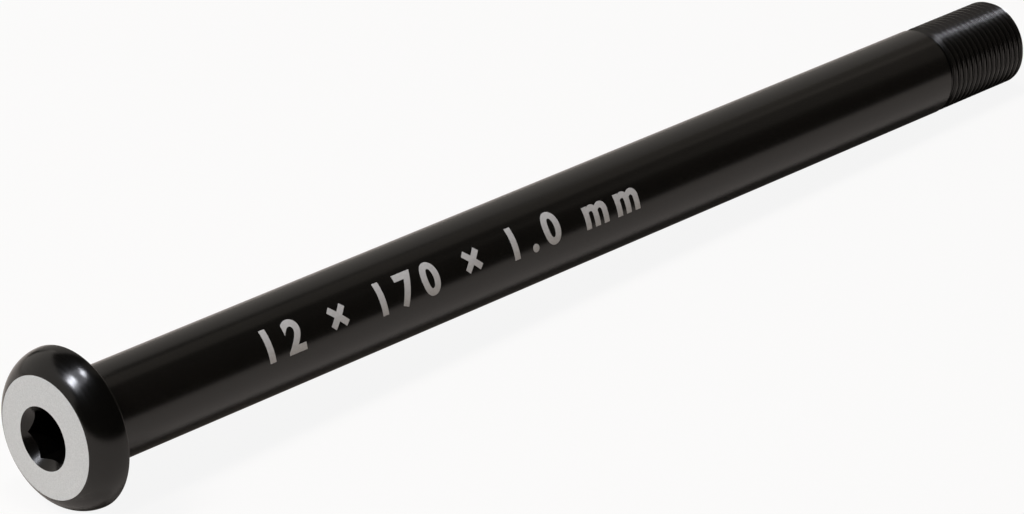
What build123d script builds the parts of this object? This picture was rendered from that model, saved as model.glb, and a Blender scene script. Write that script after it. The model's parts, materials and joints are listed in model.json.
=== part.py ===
# Bicycle thru axle: one bar of aluminium, turned, bored and broached, with a threaded far end.
# It lies as it comes to rest, on the rim of its head and the first crest at its threaded end.
import os
from math import asin, atan2, cos, hypot, radians, sin, sqrt, tan

from build123d import *

# Shaft, measured from the seat under the head to the threaded end
shaft_diameter = 12.0
under_head_length = 170.0
neck_radius = 0.6
shoulder_chamfer = 0.3
bore_diameter = 5.5

# Round head
head_diameter = 20.4
head_edge_height = 4.3
face_diameter = 15.5
face_crown_radius = 60.0
seat_edge_radius = 0.5

# Hexagon socket for the key
socket_across_flats = 6.0
socket_depth = 8.0
socket_mouth_diameter = 8.1
socket_mouth_angle = 90.0
socket_turn = -9.0

# Threaded end: the crests as a plain cylinder, with a relief groove behind them
thread_diameter = 11.9
thread_pitch = 1.0
thread_zone_length = 16.0
relief_width = 1.2
end_chamfer = 0.7
bore_end_chamfer = 0.5

# Radii and heights that follow from these
shaft_radius = shaft_diameter / 2
bore_radius = bore_diameter / 2
head_radius = head_diameter / 2
face_radius = face_diameter / 2
mouth_radius = socket_mouth_diameter / 2
thread_radius = thread_diameter / 2
end_radius = thread_radius - end_chamfer

# Depth of a sixty-degree outside thread, as a share of its pitch
thread_depth = 17 / 24 * sqrt(3) / 2 * thread_pitch
relief_radius = thread_radius - thread_depth

# The face is part of a large sphere, so its inner edge stands above its outer edge
crown_rise = sqrt(face_crown_radius**2 - mouth_radius**2) - sqrt(face_crown_radius**2 - face_radius**2)
head_height = head_edge_height + crown_rise
mouth_depth = (mouth_radius - bore_radius) / tan(radians(socket_mouth_angle / 2))

# The flank of the head is one arc, which meets the rim along the axis and ends at the face
flank_height = head_edge_height - seat_edge_radius
flank_step = head_radius - face_radius
flank_radius = (flank_step**2 + flank_height**2) / (2 * flank_step)

# Stations along the axis from the seat: the head lies on the minus side
shoulder = under_head_length - thread_zone_length
thread_start = shoulder + relief_width
thread_stop = under_head_length - end_chamfer

# At rest the floor touches the rounded seat edge and the last full crest
rim_to_crest = thread_stop + seat_edge_radius
rim_drop = head_radius - seat_edge_radius - thread_radius
rest_tilt = atan2(rim_drop, rim_to_crest) + asin(seat_edge_radius / hypot(rim_to_crest, rim_drop))
lean = sin(rest_tilt)
run = cos(rest_tilt)

# Seat centre, with the floor at zero and the whole length centred on the origin
seat_height = thread_stop * lean + thread_radius * run
head_reach = -head_height * run - mouth_radius * lean
end_reach = under_head_length * run + end_radius * lean
seat_x = -(head_reach + end_reach) / 2

# The section's plane: its x runs along the axis to the threaded end, its y points up
section_plane = Plane(origin=(seat_x, 0, seat_height), x_dir=(run, 0, -lean), z_dir=(0, -1, 0))
turning_axis = Axis(section_plane.origin, section_plane.x_dir)

# The socket's plane: across the mouth of the socket, looking down into it
mouth_centre = section_plane.from_local_coords(Vector(-head_height, 0, 0))
socket_plane = Plane(origin=mouth_centre, x_dir=(0, 1, 0), z_dir=section_plane.x_dir)

with BuildPart() as axle:
    with BuildSketch(section_plane):
        with BuildLine():
            mouth_edge = (-head_height, mouth_radius)
            face_edge = (-head_edge_height, face_radius)
            rim = (-seat_edge_radius, head_radius)
            seat_edge = (0, head_radius - seat_edge_radius)
            seat_foot = (0, shaft_radius + neck_radius)
            neck_end = (neck_radius, shaft_radius)
            RadiusArc(mouth_edge, face_edge, face_crown_radius)
            RadiusArc(face_edge, rim, flank_radius)
            RadiusArc(rim, seat_edge, seat_edge_radius)
            Line(seat_edge, seat_foot)
            RadiusArc(seat_foot, neck_end, -neck_radius)
            Polyline(
                neck_end,
                (shoulder - shoulder_chamfer, shaft_radius),
                (shoulder, shaft_radius - shoulder_chamfer),
                (shoulder, relief_radius),
                (thread_start - thread_depth, relief_radius),
                (thread_start, thread_radius),
                (thread_stop, thread_radius),
                (under_head_length, end_radius),
                (under_head_length, bore_radius + bore_end_chamfer),
                (under_head_length - bore_end_chamfer, bore_radius),
                (-head_height + mouth_depth, bore_radius),
                mouth_edge,
            )
        make_face()
    revolve(axis=turning_axis)

    # The broached hexagon, down to a flat step where the bore goes on
    with BuildSketch(socket_plane):
        RegularPolygon(
            radius=socket_across_flats / 2,
            side_count=6,
            major_radius=False,
            rotation=socket_turn,
        )
    extrude(amount=socket_depth, mode=Mode.SUBTRACT)

axle.part.label = "axle"

os.makedirs("parts", exist_ok=True)
export_step(axle.part, "parts/axle.step")
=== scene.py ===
"""Bicycle thru axle: one turned and threaded bar, black anodised, lying on a pale studio floor."""

import json
from math import asin, atan2, cos, degrees, pi, radians, sin, sqrt, tan

import bmesh
import bpy
from mathutils import Matrix, Vector


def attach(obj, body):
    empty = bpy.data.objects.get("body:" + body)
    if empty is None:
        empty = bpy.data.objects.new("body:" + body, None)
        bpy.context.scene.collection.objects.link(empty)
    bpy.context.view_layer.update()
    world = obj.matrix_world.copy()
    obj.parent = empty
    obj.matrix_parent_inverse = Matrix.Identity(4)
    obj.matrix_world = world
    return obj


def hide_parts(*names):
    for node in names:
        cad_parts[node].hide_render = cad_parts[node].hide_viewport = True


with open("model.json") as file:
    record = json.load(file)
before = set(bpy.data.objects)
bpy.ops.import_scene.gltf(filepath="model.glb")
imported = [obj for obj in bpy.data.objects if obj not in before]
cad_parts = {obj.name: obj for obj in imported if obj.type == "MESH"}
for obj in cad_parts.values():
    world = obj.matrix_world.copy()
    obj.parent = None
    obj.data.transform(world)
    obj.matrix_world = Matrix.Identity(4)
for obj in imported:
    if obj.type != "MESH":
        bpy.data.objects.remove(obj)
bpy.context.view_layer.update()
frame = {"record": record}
scene = bpy.context.scene

# The turned bar: one length of aluminium alloy, turned to a plain shaft with a low domed head,
# bored through, broached for a hexagon key and anodised black. The face of the head is then cut bright.
# Stations are millimetres along the axis from the seat under the head; the head lies on the minus side.
mm = 0.001
mounts = {mount["name"]: mount for mount in frame["record"]["mounts"]}
along = Vector(mounts["shaft"]["axis"])
seat_centre = Vector(mounts["head_seat"]["pos_m"])
seat_centre.y = 0.0
lying_tilt = asin(-along.z)
axle_frame = Matrix.LocRotScale(seat_centre, Matrix.Rotation(lying_tilt, 3, "Y"), Vector((mm, mm, mm)))


def station(mount):
    """Where a mount's point lies along the axle, in millimetres from the seat."""
    return (Vector(mounts[mount]["pos_m"]) - seat_centre).dot(along) / mm


shaft_radius = mounts["shaft"]["dims"]["r_mm"]
crest_radius = mounts["thread"]["dims"]["r_mm"]
thread_length = mounts["thread"]["dims"]["length_mm"]
thread_start = station("thread") - thread_length / 2
thread_stop = station("thread") + thread_length / 2
mouth_station = station("key_socket")

head_radius = 10.2
face_radius = 7.75
face_edge_station = -4.3
face_crown_radius = 60.0
seat_edge_radius = 0.3
neck_radius = 0.6
shoulder_chamfer = 0.3
bore_radius = 2.75
bore_end_chamfer = 0.5
mouth_radius = 4.05
mouth_half_angle = radians(45)
socket_flat = 3.0
socket_depth = 8.0
first_corner = radians(-9)
end_chamfer = 0.7
relief_width = 1.2
relief_corner_radius = 0.25
pitch = 1.0
thread_depth = 17 / 24 * sqrt(3) / 2 * pitch  # the share that is cut of a full, sharp thread's height

root_radius = crest_radius - thread_depth
shoulder = thread_start - relief_width
run_in = thread_start - thread_depth
far_end = thread_stop + end_chamfer
end_radius = crest_radius - end_chamfer
socket_floor = mouth_station + socket_depth

flank_step = head_radius - face_radius
flank_height = -seat_edge_radius - face_edge_station
flank_radius = (flank_step**2 + flank_height**2) / (2 * flank_step)
flank_stop = degrees(atan2(flank_step - flank_radius, flank_height)) + 180

relief_centre = (shoulder + relief_corner_radius, root_radius + relief_corner_radius)
neck_centre = (neck_radius, shaft_radius + neck_radius)
seat_edge_centre = (-seat_edge_radius, head_radius - seat_edge_radius)
flank_centre = (-seat_edge_radius, head_radius - flank_radius)
crown_centre = (face_edge_station + sqrt(face_crown_radius**2 - face_radius**2), 0)

# How finely the form is drawn: steps round the axis, and along each stretch of the section.
steps_round = 144
relief_steps = 5
shaft_steps = 30
edge_steps = 6
flank_steps = 18
crown_steps = 8
bore_steps = 20


def arc(centre, radius, first, last, steps):
    """Points of an arc in the section, from one angle to another in degrees, with both ends."""
    angles = [radians(first + (last - first) * i / steps) for i in range(steps + 1)]
    return [(centre[0] + radius * cos(angle), centre[1] + radius * sin(angle)) for angle in angles]


def run(start, stop, steps):
    """Evenly spaced points between two points of the section, with both ends."""
    return [tuple(Vector(start).lerp(Vector(stop), i / steps)) for i in range(steps + 1)]


black_section = (
    [(run_in, root_radius)]
    + arc(relief_centre, relief_corner_radius, 270, 180, relief_steps)
    + [(shoulder, shaft_radius - shoulder_chamfer)]
    + run((shoulder - shoulder_chamfer, shaft_radius), (neck_radius, shaft_radius), shaft_steps)
    + arc(neck_centre, neck_radius, 270, 180, edge_steps)[1:]
    + arc(seat_edge_centre, seat_edge_radius, 0, 90, edge_steps)
    + arc(flank_centre, flank_radius, 90, flank_stop, flank_steps)[1:-1]
)
face_section = arc(
    crown_centre,
    face_crown_radius,
    180 - degrees(asin(face_radius / face_crown_radius)),
    180 - degrees(asin(mouth_radius / face_crown_radius)),
    crown_steps,
)
socket_section = [(mouth_station, mouth_radius), (socket_floor, socket_flat)]
bore_section = run((socket_floor, bore_radius), (far_end - bore_end_chamfer, bore_radius), bore_steps) + [
    (far_end, bore_radius + bore_end_chamfer),
    (far_end, end_radius),
]
section_points = black_section + face_section + socket_section + bore_section
face_first = len(black_section)
socket_first = face_first + len(face_section)


def linear(hex_colour):
    """An sRGB hex colour as linear red, green, blue and alpha."""
    shares = [int(hex_colour[i : i + 2], 16) / 255 for i in (1, 3, 5)]
    return [c / 12.92 if c <= 0.04045 else ((c + 0.055) / 1.055) ** 2.4 for c in shares] + [1.0]


def add(tree, kind, inputs=None, **settings):
    """Adds a node with its settings, and fills each named or numbered input from a value or a socket."""
    made = tree.nodes.new(kind)
    for name, value in settings.items():
        setattr(made, name, value)
    for key, value in (inputs or {}).items():
        if isinstance(value, bpy.types.NodeSocket):
            tree.links.new(value, made.inputs[key])
        else:
            made.inputs[key].default_value = value
    return made


def new_finish(name):
    """A new material, with its tree of nodes and its shader."""
    made = bpy.data.materials.new(name)
    made.use_nodes = True
    return made, made.node_tree, made.node_tree.nodes["Principled BSDF"]


def axle_place(tree):
    """A point in the axle's own millimetres, with x from the seat, and its distance from the axis."""
    place = add(tree, "ShaderNodeTexCoord").outputs["Object"]
    turned = add(
        tree,
        "ShaderNodeMapping",
        {"Vector": place, "Location": seat_centre, "Rotation": (0, lying_tilt, 0), "Scale": (mm, mm, mm)},
        vector_type="TEXTURE",
    ).outputs[0]
    across = add(tree, "ShaderNodeVectorMath", {0: turned, 1: (0, 1, 1)}, operation="MULTIPLY").outputs[0]
    from_axis = add(tree, "ShaderNodeVectorMath", {0: across}, operation="LENGTH").outputs["Value"]
    return turned, from_axis


# Black anodised aluminium: a dyed, sealed oxide a hundredth of a millimetre thick on turned metal.
# The eye gets a warm near-black with a clear gloss, polished on the head and satin along the shaft.
# The turning lines and the thread's tool marks are drawn coarser than real ones, so that they show.
turning_line = 0.45
turning_line_depth = 0.0015
tool_mark = pitch / 8
tool_mark_depth = 0.0045
dye_patch = 6.0
head_gloss = 0.15
shaft_satin = 0.17
thread_satin = 0.13
line_roughness = 0.05
patch_roughness = 0.03
seat_blend = 0.4
shoulder_blend = 0.1
anodised, tree, shader = new_finish("black_anodised_aluminium")
turned, from_axis = axle_place(tree)
from_seat = add(tree, "ShaderNodeSeparateXYZ", {0: turned}).outputs["X"]
along_section = add(tree, "ShaderNodeMath", {0: from_seat, 1: from_axis}, operation="ADD").outputs[0]
lines = add(
    tree,
    "ShaderNodeTexNoise",
    {"W": along_section, "Scale": 1 / turning_line, "Detail": 1.0},
    noise_dimensions="1D",
).outputs[0]
patches = add(
    tree, "ShaderNodeTexNoise", {"Vector": turned, "Scale": 1 / dye_patch, "Detail": 3.0}
).outputs[0]
past_seat = add(
    tree, "ShaderNodeMapRange", {"Value": from_seat, "From Min": -seat_blend, "From Max": seat_blend}
).outputs[0]
turned_zone = add(
    tree, "ShaderNodeMix", {0: past_seat, 2: head_gloss, 3: shaft_satin}, data_type="FLOAT"
).outputs[0]
zone = add(
    tree,
    "ShaderNodeMapRange",
    {
        "Value": from_seat,
        "From Min": thread_start,
        "From Max": thread_start + pitch / 2,
        "To Min": turned_zone,
        "To Max": thread_satin,
    },
).outputs[0]
lined = add(
    tree, "ShaderNodeMath", {0: lines, 1: line_roughness, 2: zone}, operation="MULTIPLY_ADD"
).outputs[0]
roughness = add(
    tree, "ShaderNodeMath", {0: patches, 1: patch_roughness, 2: lined}, operation="MULTIPLY_ADD"
).outputs[0]
head_dye = add(
    tree,
    "ShaderNodeMix",
    {0: patches, 6: linear("#040403"), 7: linear("#070605")},
    data_type="RGBA",
).outputs[2]
shaft_dye = add(
    tree,
    "ShaderNodeMix",
    {0: patches, 6: linear("#0c0b09"), 7: linear("#12100d")},
    data_type="RGBA",
).outputs[2]
dye = add(tree, "ShaderNodeMix", {0: past_seat, 6: head_dye, 7: shaft_dye}, data_type="RGBA").outputs[2]
on_thread = add(
    tree,
    "ShaderNodeMapRange",
    {"Value": from_seat, "From Min": shoulder - shoulder_blend, "From Max": shoulder + shoulder_blend},
).outputs[0]
mark_phase = add(
    tree, "ShaderNodeMath", {0: from_seat, 1: 2 * pi / tool_mark}, operation="MULTIPLY"
).outputs[0]
mark_wave = add(tree, "ShaderNodeMath", {0: mark_phase}, operation="SINE").outputs[0]
mark_depth = add(
    tree, "ShaderNodeMath", {0: on_thread, 1: tool_mark_depth}, operation="MULTIPLY"
).outputs[0]
tool_marks = add(tree, "ShaderNodeMath", {0: mark_wave, 1: mark_depth}, operation="MULTIPLY").outputs[0]
relief = add(
    tree, "ShaderNodeMath", {0: lines, 1: turning_line_depth, 2: tool_marks}, operation="MULTIPLY_ADD"
).outputs[0]
relief_bump = add(tree, "ShaderNodeBump", {"Height": relief, "Strength": 1.0, "Distance": mm}).outputs[0]
shader.inputs["IOR"].default_value = 1.5
tree.links.new(dye, shader.inputs["Base Color"])
tree.links.new(roughness, shader.inputs["Roughness"])
tree.links.new(relief_bump, shader.inputs["Normal"])

# Bare aluminium face: the black is cut away in a fine facing cut, which leaves a pale satin ring.
# The rings of the tool, drawn a few tenths of a millimetre apart so that they show, and the grain
# of the metal scatter the light into a soft even grey.
facing_line = 0.3
facing_line_depth = 0.004
metal_grain = 0.18
smooth_satin = 0.42
rough_satin = 0.54
noise_low = 0.3
noise_high = 0.7
bare, tree, shader = new_finish("bare_satin_aluminium")
turned, from_axis = axle_place(tree)
rings = add(
    tree,
    "ShaderNodeTexNoise",
    {"W": from_axis, "Scale": 1 / facing_line, "Detail": 2.0},
    noise_dimensions="1D",
).outputs[0]
grain = add(
    tree, "ShaderNodeTexNoise", {"Vector": turned, "Scale": 1 / metal_grain, "Detail": 2.0}
).outputs[0]
tone = add(
    tree,
    "ShaderNodeMix",
    {0: grain, 6: linear("#d0d7da"), 7: linear("#f3f9fc")},
    data_type="RGBA",
).outputs[2]
roughness = add(
    tree,
    "ShaderNodeMapRange",
    {
        "Value": rings,
        "From Min": noise_low,
        "From Max": noise_high,
        "To Min": smooth_satin,
        "To Max": rough_satin,
    },
).outputs[0]
ring_bump = add(
    tree, "ShaderNodeBump", {"Height": rings, "Strength": 1.0, "Distance": facing_line_depth * mm}
).outputs[0]
shader.inputs["Metallic"].default_value = 1.0
tree.links.new(tone, shader.inputs["Base Color"])
tree.links.new(roughness, shader.inputs["Roughness"])
tree.links.new(ring_bump, shader.inputs["Normal"])

# The section turns about the axis; rows in the socket take the hexagon's radius instead of their own.
section = bpy.data.meshes.new("axle_section")
section.from_pydata([(s, r, 0) for s, r in section_points], [], [])
marks = {
    "hexagon": range(socket_first, socket_first + 2),
    "countersink": range(socket_first, socket_first + 1),
    "bare": range(face_first, socket_first),
}
for name, marked_rows in marks.items():
    layer = section.attributes.new(name, "FLOAT", "POINT")
    layer.data.foreach_set("value", [float(i in marked_rows) for i in range(len(section_points))])

weld = 0.001
wholly_bare = 0.99
side_angle = pi / 3  # what one side of the hexagon takes up of a turn
bar_sizes = {
    "Steps Round": steps_round,
    "First Corner": first_corner,
    "Flat Distance": socket_flat,
    "Mouth Radius": mouth_radius,
    "Mouth Slope": 1 / tan(mouth_half_angle),
    "Finish": anodised,
    "Face Finish": bare,
}


def new_tree(name, sizes):
    """An empty geometry tree with a geometry in and out and one named input for each size."""
    kinds = {int: "NodeSocketInt", float: "NodeSocketFloat", bpy.types.Material: "NodeSocketMaterial"}
    made = bpy.data.node_groups.new(name, "GeometryNodeTree")
    made.interface.new_socket("Geometry", in_out="INPUT", socket_type="NodeSocketGeometry")
    for size, value in sizes.items():
        made.interface.new_socket(size, in_out="INPUT", socket_type=kinds[type(value)])
    made.interface.new_socket("Geometry", in_out="OUTPUT", socket_type="NodeSocketGeometry")
    return made


def grid_round(tree, given, rows):
    """A grid to wrap round the axis, with each point's row and its share of a whole turn."""
    steps = given["Steps Round"]
    columns = add(tree, "FunctionNodeIntegerMath", {0: steps, 1: 1}, operation="ADD").outputs[0]
    grid = add(tree, "GeometryNodeMeshGrid", {"Vertices X": columns, "Vertices Y": rows}).outputs["Mesh"]
    index = add(tree, "GeometryNodeInputIndex").outputs[0]
    row = add(tree, "FunctionNodeIntegerMath", {0: index, 1: rows}, operation="MODULO").outputs[0]
    column = add(tree, "FunctionNodeIntegerMath", {0: index, 1: rows}, operation="DIVIDE_FLOOR").outputs[0]
    share = add(tree, "ShaderNodeMath", {0: column, 1: steps}, operation="DIVIDE").outputs[0]
    return grid, row, share


def wrap_round(tree, given, grid, share, reach, radius):
    """Takes each point of a grid to its reach along the axis and its radius, and closes the seam."""
    turn = add(tree, "ShaderNodeMath", {0: share, 1: 2 * pi}, operation="MULTIPLY").outputs[0]
    angle = add(tree, "ShaderNodeMath", {0: turn, 1: given["First Corner"]}, operation="ADD").outputs[0]
    cosine = add(tree, "ShaderNodeMath", {0: angle}, operation="COSINE").outputs[0]
    sine = add(tree, "ShaderNodeMath", {0: angle}, operation="SINE").outputs[0]
    level = add(tree, "ShaderNodeMath", {0: radius, 1: cosine}, operation="MULTIPLY").outputs[0]
    rise = add(tree, "ShaderNodeMath", {0: radius, 1: sine}, operation="MULTIPLY").outputs[0]
    spot = add(tree, "ShaderNodeCombineXYZ", {0: reach, 1: level, 2: rise}).outputs[0]
    shaped = add(tree, "GeometryNodeSetPosition", {"Geometry": grid, "Position": spot}).outputs[0]
    closed = add(tree, "GeometryNodeMergeByDistance", {"Geometry": shaped, "Distance": weld}).outputs[0]
    real = add(tree, "GeometryNodeRealizeInstances", {0: closed}).outputs[0]
    return add(tree, "GeometryNodeSetMaterial", {0: real, "Material": given["Finish"]}).outputs[0]


def put(name, data):
    """A new object in the scene."""
    made = bpy.data.objects.new(name, data)
    scene.collection.objects.link(made)
    return made


def plain_mesh(holder):
    """What an object shows, as a plain mesh; the object is removed."""
    bpy.context.view_layer.update()
    seen = holder.evaluated_get(bpy.context.evaluated_depsgraph_get())
    made = bpy.data.meshes.new_from_object(seen)
    bpy.data.objects.remove(holder)
    return made


def grow(tree, start, sizes):
    """Runs a geometry tree on a starting mesh, and gives back what it makes as a plain mesh."""
    holder = put(tree.name, start)
    modifier = holder.modifiers.new(tree.name, "NODES")
    modifier.node_group = tree
    for item in tree.interface.items_tree:
        if item.in_out == "INPUT" and item.name in sizes:
            modifier[item.identifier] = sizes[item.name]
    made = plain_mesh(holder)
    made.materials.pop(index=0)  # the empty slot that a new grid has
    return made


tree = new_tree("turned_bar", bar_sizes)
given = add(tree, "NodeGroupInput").outputs
rows = add(tree, "GeometryNodeAttributeDomainSize", {0: given["Geometry"]}).outputs["Point Count"]
grid, row, share = grid_round(tree, given, rows)
position = add(tree, "GeometryNodeInputPosition").outputs[0]
point = add(
    tree,
    "GeometryNodeSampleIndex",
    {"Geometry": given["Geometry"], "Value": position, "Index": row},
    data_type="FLOAT_VECTOR",
).outputs[0]
marked = {}
for name in marks:
    mark = add(tree, "GeometryNodeInputNamedAttribute", {"Name": name}, data_type="FLOAT")
    marked[name] = add(
        tree,
        "GeometryNodeSampleIndex",
        {"Geometry": given["Geometry"], "Value": mark.outputs["Attribute"], "Index": row},
        data_type="FLOAT",
    ).outputs[0]
own = add(tree, "ShaderNodeSeparateXYZ", {0: point}).outputs
turn = add(tree, "ShaderNodeMath", {0: share, 1: 2 * pi}, operation="MULTIPLY").outputs[0]
on_side = add(tree, "ShaderNodeMath", {0: turn, 1: side_angle}, operation="FLOORED_MODULO").outputs[0]
from_flat = add(tree, "ShaderNodeMath", {0: on_side, 1: side_angle / 2}, operation="SUBTRACT").outputs[0]
slant = add(tree, "ShaderNodeMath", {0: from_flat}, operation="COSINE").outputs[0]
flat_radius = add(
    tree, "ShaderNodeMath", {0: given["Flat Distance"], 1: slant}, operation="DIVIDE"
).outputs[0]
radius = add(
    tree, "ShaderNodeMix", {0: marked["hexagon"], 2: own["Y"], 3: flat_radius}, data_type="FLOAT"
).outputs[0]
inset = add(tree, "ShaderNodeMath", {0: given["Mouth Radius"], 1: radius}, operation="SUBTRACT").outputs[0]
sunk = add(tree, "ShaderNodeMath", {0: inset, 1: given["Mouth Slope"]}, operation="MULTIPLY").outputs[0]
reach = add(
    tree, "ShaderNodeMath", {0: sunk, 1: marked["countersink"], 2: own["X"]}, operation="MULTIPLY_ADD"
).outputs[0]
kept = add(
    tree,
    "GeometryNodeStoreNamedAttribute",
    {"Geometry": grid, "Name": "bare", "Value": marked["bare"]},
    data_type="FLOAT",
    domain="POINT",
).outputs[0]
black = wrap_round(tree, given, kept, share, reach, radius)
bare_mark = add(tree, "GeometryNodeInputNamedAttribute", {"Name": "bare"}, data_type="FLOAT")
on_face = add(
    tree,
    "FunctionNodeCompare",
    {0: bare_mark.outputs["Attribute"], 1: wholly_bare},
    data_type="FLOAT",
    operation="GREATER_THAN",
).outputs[0]
done = add(
    tree, "GeometryNodeSetMaterial", {0: black, "Selection": on_face, "Material": given["Face Finish"]}
).outputs[0]
add(tree, "NodeGroupOutput", {0: done})
bar_mesh = grow(tree, section, bar_sizes)

# The thread: a right-hand M12 x 1.0 cut on the far end, black like the shaft.
# Rows of points wind along the helix and take the radius of a sixty-degree thread with rounded crests.
# It runs in from the relief groove behind the shoulder, and is chamfered at the far end.
thread_half_angle = radians(30)
thread_sizes = {
    "Steps Round": steps_round,
    "Rows per Turn": 24,
    "First Corner": first_corner,
    "Pitch": pitch,
    "Run In": run_in,
    "Far End": far_end,
    "Crest Radius": crest_radius,
    "Root Radius": root_radius,
    "End Radius": end_radius,
    "Crest Width": 0.25 * pitch,
    "Flank Slope": 1 / tan(thread_half_angle),
    "Rounding": 0.16,
    "Finish": anodised,
}
spare_turns = 1.0  # the rows wind this far past both ends and are held there, so that the ends are flat
half_turn = 0.5
tree = new_tree("thread", thread_sizes)
given = add(tree, "NodeGroupInput").outputs
length = add(
    tree, "ShaderNodeMath", {0: given["Far End"], 1: given["Run In"]}, operation="SUBTRACT"
).outputs[0]
turns = add(tree, "ShaderNodeMath", {0: length, 1: given["Pitch"]}, operation="DIVIDE").outputs[0]
all_turns = add(tree, "ShaderNodeMath", {0: turns, 1: 2 * spare_turns}, operation="ADD").outputs[0]
row_count = add(
    tree, "ShaderNodeMath", {0: all_turns, 1: given["Rows per Turn"]}, operation="MULTIPLY"
).outputs[0]
rows = add(tree, "FunctionNodeFloatToInt", {0: row_count}, rounding_mode="CEILING").outputs[0]
grid, row, share = grid_round(tree, given, rows)
row_turns = add(tree, "ShaderNodeMath", {0: row, 1: given["Rows per Turn"]}, operation="DIVIDE").outputs[0]
wound = add(tree, "ShaderNodeMath", {0: share, 1: row_turns}, operation="ADD").outputs[0]
from_start = add(tree, "ShaderNodeMath", {0: wound, 1: spare_turns}, operation="SUBTRACT").outputs[0]
free_reach = add(
    tree, "ShaderNodeMath", {0: from_start, 1: given["Pitch"], 2: given["Run In"]}, operation="MULTIPLY_ADD"
).outputs[0]
reach = add(
    tree, "ShaderNodeClamp", {"Value": free_reach, "Min": given["Run In"], "Max": given["Far End"]}
).outputs[0]
past_run_in = add(tree, "ShaderNodeMath", {0: reach, 1: given["Run In"]}, operation="SUBTRACT").outputs[0]
before_end = add(tree, "ShaderNodeMath", {0: given["Far End"], 1: reach}, operation="SUBTRACT").outputs[0]
reach_turns = add(tree, "ShaderNodeMath", {0: past_run_in, 1: given["Pitch"]}, operation="DIVIDE").outputs[0]
unwound = add(tree, "ShaderNodeMath", {0: reach_turns, 1: share}, operation="SUBTRACT").outputs[0]
phase = add(tree, "ShaderNodeMath", {0: unwound, 1: half_turn}, operation="PINGPONG").outputs[0]
from_crest = add(tree, "ShaderNodeMath", {0: phase, 1: given["Pitch"]}, operation="MULTIPLY").outputs[0]
half_crest = add(tree, "ShaderNodeMath", {0: given["Crest Width"], 1: 2.0}, operation="DIVIDE").outputs[0]
down_flank = add(tree, "ShaderNodeMath", {0: half_crest, 1: from_crest}, operation="SUBTRACT").outputs[0]
flank = add(
    tree,
    "ShaderNodeMath",
    {0: down_flank, 1: given["Flank Slope"], 2: given["Crest Radius"]},
    operation="MULTIPLY_ADD",
).outputs[0]
rooted = add(
    tree,
    "ShaderNodeMath",
    {0: flank, 1: given["Root Radius"], 2: given["Rounding"]},
    operation="SMOOTH_MAX",
).outputs[0]
crested = add(
    tree,
    "ShaderNodeMath",
    {0: rooted, 1: given["Crest Radius"], 2: given["Rounding"]},
    operation="SMOOTH_MIN",
).outputs[0]
run_in_limit = add(
    tree,
    "ShaderNodeMath",
    {0: past_run_in, 1: given["Flank Slope"], 2: given["Root Radius"]},
    operation="MULTIPLY_ADD",
).outputs[0]
end_limit = add(tree, "ShaderNodeMath", {0: given["End Radius"], 1: before_end}, operation="ADD").outputs[0]
limit = add(tree, "ShaderNodeMath", {0: run_in_limit, 1: end_limit}, operation="MINIMUM").outputs[0]
radius = add(tree, "ShaderNodeMath", {0: crested, 1: limit}, operation="MINIMUM").outputs[0]
done = wrap_round(tree, given, grid, share, reach, radius)
add(tree, "NodeGroupOutput", {0: done})
thread_mesh = grow(tree, bpy.data.meshes.new("thread_start"), thread_sizes)

# The whole axle: bar and thread are one length of metal, so their meshes become one closed piece.
# They meet in the relief groove and at the far end, and the piece stands for the solid.
seam_gap = 0.002
sharp_from = radians(40)


def lying_mesh(name, shape, finishes):
    """A shape in the axle's own millimetres as a mesh where the axle lies, with its faces outwards."""
    bmesh.ops.recalc_face_normals(shape, faces=shape.faces[:])
    shape.transform(axle_frame)
    made = bpy.data.meshes.new(name)
    shape.to_mesh(made)
    shape.free()
    for finish in finishes:
        made.materials.append(finish)
    made.shade_smooth()
    made.set_sharp_from_angle(angle=sharp_from)
    return made


joined = bmesh.new()
joined.from_mesh(bar_mesh)
joined.from_mesh(thread_mesh)
bmesh.ops.remove_doubles(joined, verts=joined.verts[:], dist=seam_gap)
axle = put("axle_looks", lying_mesh("axle_looks", joined, [anodised, bare]))
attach(axle, "root")
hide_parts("axle")

# The size figures: diameter, length and thread pitch in millimetres, marked along the shaft by a laser.
# It burns the dye out of the black finish, which leaves matt, pale grey strokes with no depth to speak of.
# Flat letters are cut into narrow strips, given a skin of a fiftieth of a mm and bent round the shaft.
figure_height = 4.2
capital_share = 0.729  # height of a capital in the built-in letters, as a share of their size
figure_spacing = 1.46
figure_weight = 0.2
figure_weld = 0.005
figure_strip = 0.4
figure_skin = 0.02
figures_middle = 58.5
figures_angle = radians(30)
times = "\N{MULTIPLICATION SIGN}"
lettering = bpy.data.curves.new("size_figures", "FONT")
lettering.body = f"{2 * shaft_radius:.0f} {times} {far_end:.0f} {times} {pitch:.1f} mm"
lettering.size = figure_height / capital_share
lettering.space_character = figure_spacing
lettering.offset = figure_weight
lettering.align_x = "CENTER"
lettering.align_y = "CENTER"
letters = bmesh.new()
letters.from_mesh(plain_mesh(put("size_figures", lettering)))
bmesh.ops.remove_doubles(letters, verts=letters.verts[:], dist=figure_weld)
strips = int(figure_height / figure_strip)
for i in range(-strips, strips + 1):
    whole = letters.verts[:] + letters.edges[:] + letters.faces[:]
    bmesh.ops.bisect_plane(letters, geom=whole, plane_co=(0, i * figure_strip, 0), plane_no=(0, 1, 0))
rim = [edge for edge in letters.edges if edge.is_boundary]
flat_faces = letters.faces[:]
lifted = {corner: letters.verts.new((corner.co.x, corner.co.y, figure_skin)) for corner in letters.verts[:]}
for face in flat_faces:
    letters.faces.new([lifted[corner] for corner in face.verts])
for edge in rim:
    one, other = edge.verts
    letters.faces.new((one, other, lifted[other], lifted[one]))
for corner in letters.verts:
    turn = figures_angle + corner.co.y / shaft_radius
    radius = shaft_radius - figure_skin / 2 + corner.co.z
    corner.co = (figures_middle + corner.co.x, -radius * cos(turn), radius * sin(turn))

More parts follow.
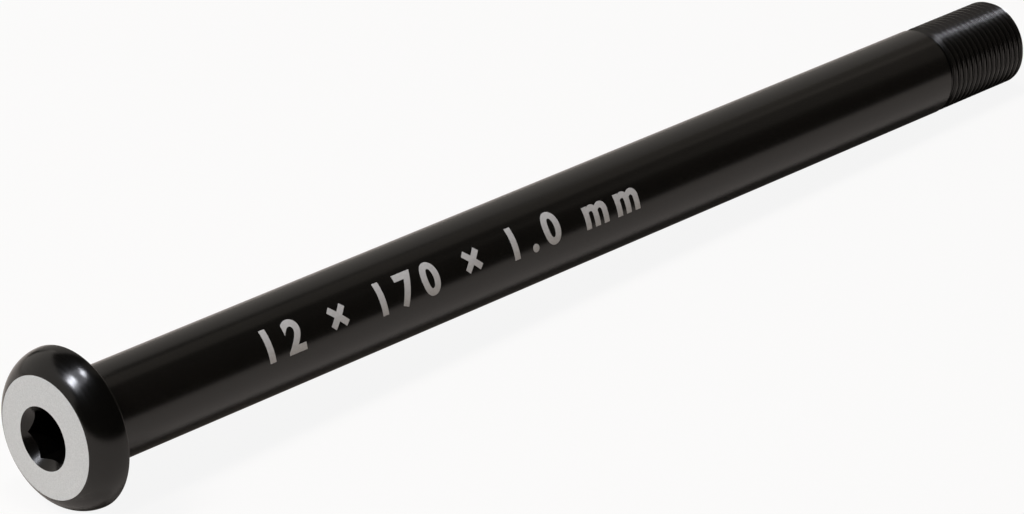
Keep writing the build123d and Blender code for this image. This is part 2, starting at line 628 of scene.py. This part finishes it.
# Bleached oxide: the clear layer that is left without its dye, roughened by the laser's passes.
# Light scatters in it, so it is a matt warm grey with a faint grain, and hardly shines.
laser_grain = 0.25
bleached, tree, shader = new_finish("laser_bleached_oxide")
place = add(tree, "ShaderNodeTexCoord").outputs["Object"]
grain = add(
    tree, "ShaderNodeTexNoise", {"Vector": place, "Scale": 1 / (laser_grain * mm), "Detail": 2.0}
).outputs[0]
tone = add(
    tree,
    "ShaderNodeMix",
    {0: grain, 6: linear("#b4b1ab"), 7: linear("#d2cfc9")},
    data_type="RGBA",
).outputs[2]
shader.inputs["Roughness"].default_value = 0.6
tree.links.new(tone, shader.inputs["Base Color"])
figures = put("size_figures", lying_mesh("size_figures", letters, [bleached]))
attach(figures, "root")

# The floor: one flat square of pale cream paper under the axle, matt, which keeps its shadow.
# To the camera it is nearly white; what the gloss of the axle shows of it is mostly the lit sheet.
floor_size = 12.0
seen_white = 0.9
mirrored_white = 0.02
floor_mesh = bpy.data.meshes.new("floor")
corners = [(-1, -1), (1, -1), (1, 1), (-1, 1)]
floor_mesh.from_pydata([(x * floor_size / 2, y * floor_size / 2, 0) for x, y in corners], [], [(0, 1, 2, 3)])
pale = bpy.data.materials.new("pale_floor")
pale.use_nodes = True
tree = pale.node_tree
tree.nodes.clear()
rays = add(tree, "ShaderNodeLightPath").outputs
glossy = add(
    tree, "ShaderNodeMath", {0: rays["Is Glossy Ray"], 1: rays["Is Transmission Ray"]}, operation="MAXIMUM"
).outputs[0]
mirrored = add(tree, "ShaderNodeMath", {0: glossy, 1: mirrored_white}, operation="MULTIPLY").outputs[0]
whiteness = add(
    tree,
    "ShaderNodeMath",
    {0: rays["Is Camera Ray"], 1: seen_white, 2: mirrored},
    operation="MULTIPLY_ADD",
).outputs[0]
sheet = add(tree, "ShaderNodeBsdfDiffuse", {"Color": linear("#d9cfc3")}).outputs[0]
white = add(tree, "ShaderNodeEmission", {"Strength": 1.0}).outputs[0]
floor_look = add(tree, "ShaderNodeMixShader", {0: whiteness, 1: sheet, 2: white}).outputs[0]
add(tree, "ShaderNodeOutputMaterial", {"Surface": floor_look})
floor_mesh.materials.append(pale)
floor = put("floor", floor_mesh)

# The light: a dim room with soft lamps, all turned to the head of the axle and unseen by the camera.
# A cool strip overhead and two small bright lamps beside it make the highlights on the head and the thread.
# A wide warm panel behind and three weak ones to the right give the shaft its long soft bands.
cool_white = "#f4f6ff"
warm_white = "#fff8f0"
cream_white = "#fff4e6"
lamp_distance = 0.9
panel_distance = 1.4
far_panel_distance = 0.635
head_place = Vector((-0.085, 0.0, 0.012))
world = bpy.data.worlds.new("studio")
world.use_nodes = True
world.node_tree.nodes["Background"].inputs["Color"].default_value = linear("#2f2c29")
world.node_tree.nodes["Background"].inputs["Strength"].default_value = 1.0
scene.world = world


def soft_lamp(name, direction, distance, size, power, colour):
    """An oblong lamp that faces the head from a direction, with its sizes in metres and power in watts."""
    light = bpy.data.lights.new(name, "AREA")
    light.shape = "RECTANGLE"
    light.size, light.size_y = size
    light.energy = power
    light.color = linear(colour)[:3]
    toward = Vector(direction).normalized()
    lamp = put(name, light)
    lamp.matrix_world = Matrix.LocRotScale(
        head_place + toward * distance, toward.to_track_quat("Z", "Y"), None
    )
    lamp.visible_camera = False


soft_lamp("strip_lamp", (-0.403, 0.075, 0.9135), lamp_distance, (0.36, 0.73), 2.3, cool_white)
soft_lamp("side_lamp", (-0.54, 0.12, 0.84), lamp_distance, (0.15, 0.3), 4.65, cool_white)
soft_lamp("top_lamp", (0.07, 0.04, 0.996), lamp_distance, (0.12, 0.18), 2.2, cool_white)
soft_lamp("back_panel", (-0.5, 0.75, 0.4), panel_distance, (3.2, 1.2), 6.7, warm_white)
soft_lamp("right_panel", (0.75, 0.8, 0.4), panel_distance, (1.1, 1.1), 1.3, warm_white)
soft_lamp("roof_panel", (0.639, 0.12, 0.75), panel_distance, (0.5, 1.0), 0.31, cream_white)
soft_lamp("far_panel", (0.575, -0.107, 0.23), far_panel_distance, (0.3, 0.4), 0.054, cream_white)

# The camera: a long lens that looks down over the head and along the shaft.
# Its heading turns from +Y towards +X, and its target lies in the upright plane through the axle.
view_heading = radians(45.5369)
view_drop = radians(26.4453)
view_distance = 0.637861
view_target = Vector((-0.008845, 0.0, 0.006272))
picture_width = 1024
lens_pixels = 5000.0  # focal length, in pixels of a picture of that width
camera_data = bpy.data.cameras.new("camera")
camera_data.sensor_fit = "HORIZONTAL"
camera_data.sensor_width = 36.0
camera_data.lens = lens_pixels / picture_width * camera_data.sensor_width
camera_data.clip_start = 0.01
looking = Vector((sin(view_heading) * cos(view_drop), cos(view_heading) * cos(view_drop), -sin(view_drop)))
camera = put("camera", camera_data)
camera.matrix_world = Matrix.LocRotScale(
    view_target - looking * view_distance, looking.to_track_quat("-Z", "Y"), None
)
scene.camera = camera
scene.view_settings.view_transform = "Standard"
